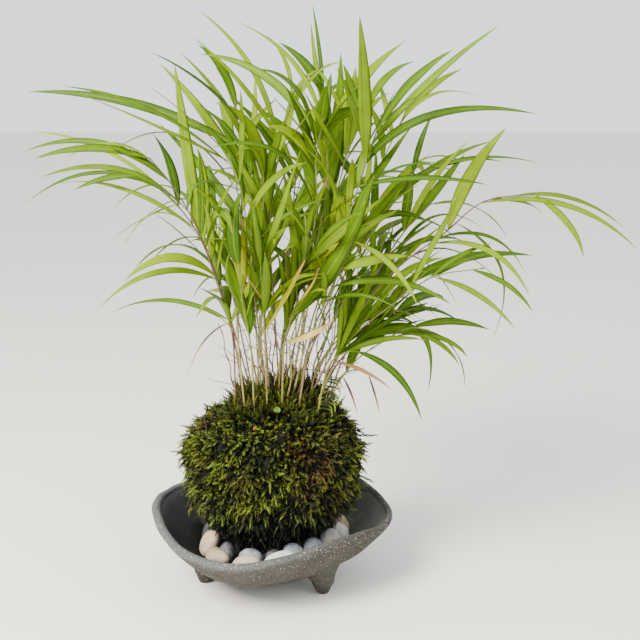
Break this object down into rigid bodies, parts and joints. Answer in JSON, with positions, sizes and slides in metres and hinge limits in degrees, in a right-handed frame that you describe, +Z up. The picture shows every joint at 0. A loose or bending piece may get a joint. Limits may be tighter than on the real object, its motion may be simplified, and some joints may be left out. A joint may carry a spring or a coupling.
{
  "type": "moss ball plant",
  "caption": "Clump of arching forest grass growing from a moss covered ball of soil, resting on pebbles in a shallow stoneware dish on short feet.",
  "frame": {"origin": "bottom centre of the bounding box of the whole plant and dish, on the surface it stands on", "axes": "+Z up; -Y towards the side seen in the picture; +X to the right of that view"},
  "size_m": [0.3414, 0.2486, 0.3245],
  "materials": {
    "stoneware": "matte",
    "soil": "matte",
    "moss": "matte",
    "leaf": "satin",
    "seedling": "satin",
    "pebble_tan": "matte",
    "pebble_slate": "matte",
    "pebble_pale": "matte"
  },
  "bodies": {
    "root": {"dish": "stoneware", "soil_ball": "soil", "moss_cover": "moss", "seedling": "seedling", "pebble_tan_front_left": "pebble_tan", "pebble_tan_front": "pebble_tan", "pebble_white_front": "pebble_pale", "pebble_tan_tall": "pebble_tan", "pebble_dark_left": "pebble_slate", "pebble_slate_left": "pebble_slate", "pebble_grey_front": "pebble_slate", "pebble_slate_middle": "pebble_slate", "pebble_slate_right": "pebble_slate", "pebble_pale_right": "pebble_pale", "pebble_white_right": "pebble_pale", "pebble_tan_right": "pebble_tan", "pebble_back_1": "pebble_slate", "pebble_back_2": "pebble_slate", "pebble_back_3": "pebble_slate", "pebble_back_4": "pebble_slate", "pebble_back_5": "pebble_slate", "pebble_back_6": "pebble_slate", "pebble_back_7": "pebble_slate", "pebble_under_1": "pebble_slate", "pebble_under_2": "pebble_slate", "pebble_under_3": "pebble_slate", "stem_left_long": "leaf", "stem_left_behind": "leaf", "stem_left_low": "leaf", "stem_left_upright": "leaf", "stem_left_tall": "leaf", "stem_middle_left": "leaf", "stem_middle": "leaf", "stem_middle_front": "leaf", "stem_middle_back": "leaf", "stem_right_upright": "leaf", "stem_right_tall": "leaf", "stem_right_thin": "leaf", "stem_right_back": "leaf", "stem_right_arching": "leaf", "stem_right_second": "leaf", "stem_right_low_long": "leaf", "stem_right_low": "leaf", "stem_right_front": "leaf", "stem_right_short": "leaf", "stem_right_shortest": "leaf", "stem_right_dry": "leaf", "stem_dead": "leaf", "stem_front": "leaf", "stem_front_second": "leaf", "stem_front_left": "leaf", "stem_front_middle": "leaf", "stem_back_left": "leaf", "stem_back_left_high": "leaf", "stem_back_middle": "leaf", "stem_back_middle_high": "leaf", "stem_back_right": "leaf", "stem_back_right_high": "leaf", "stem_back_low": "leaf", "stem_back_low_right": "leaf"}
  },
  "joints": []
}
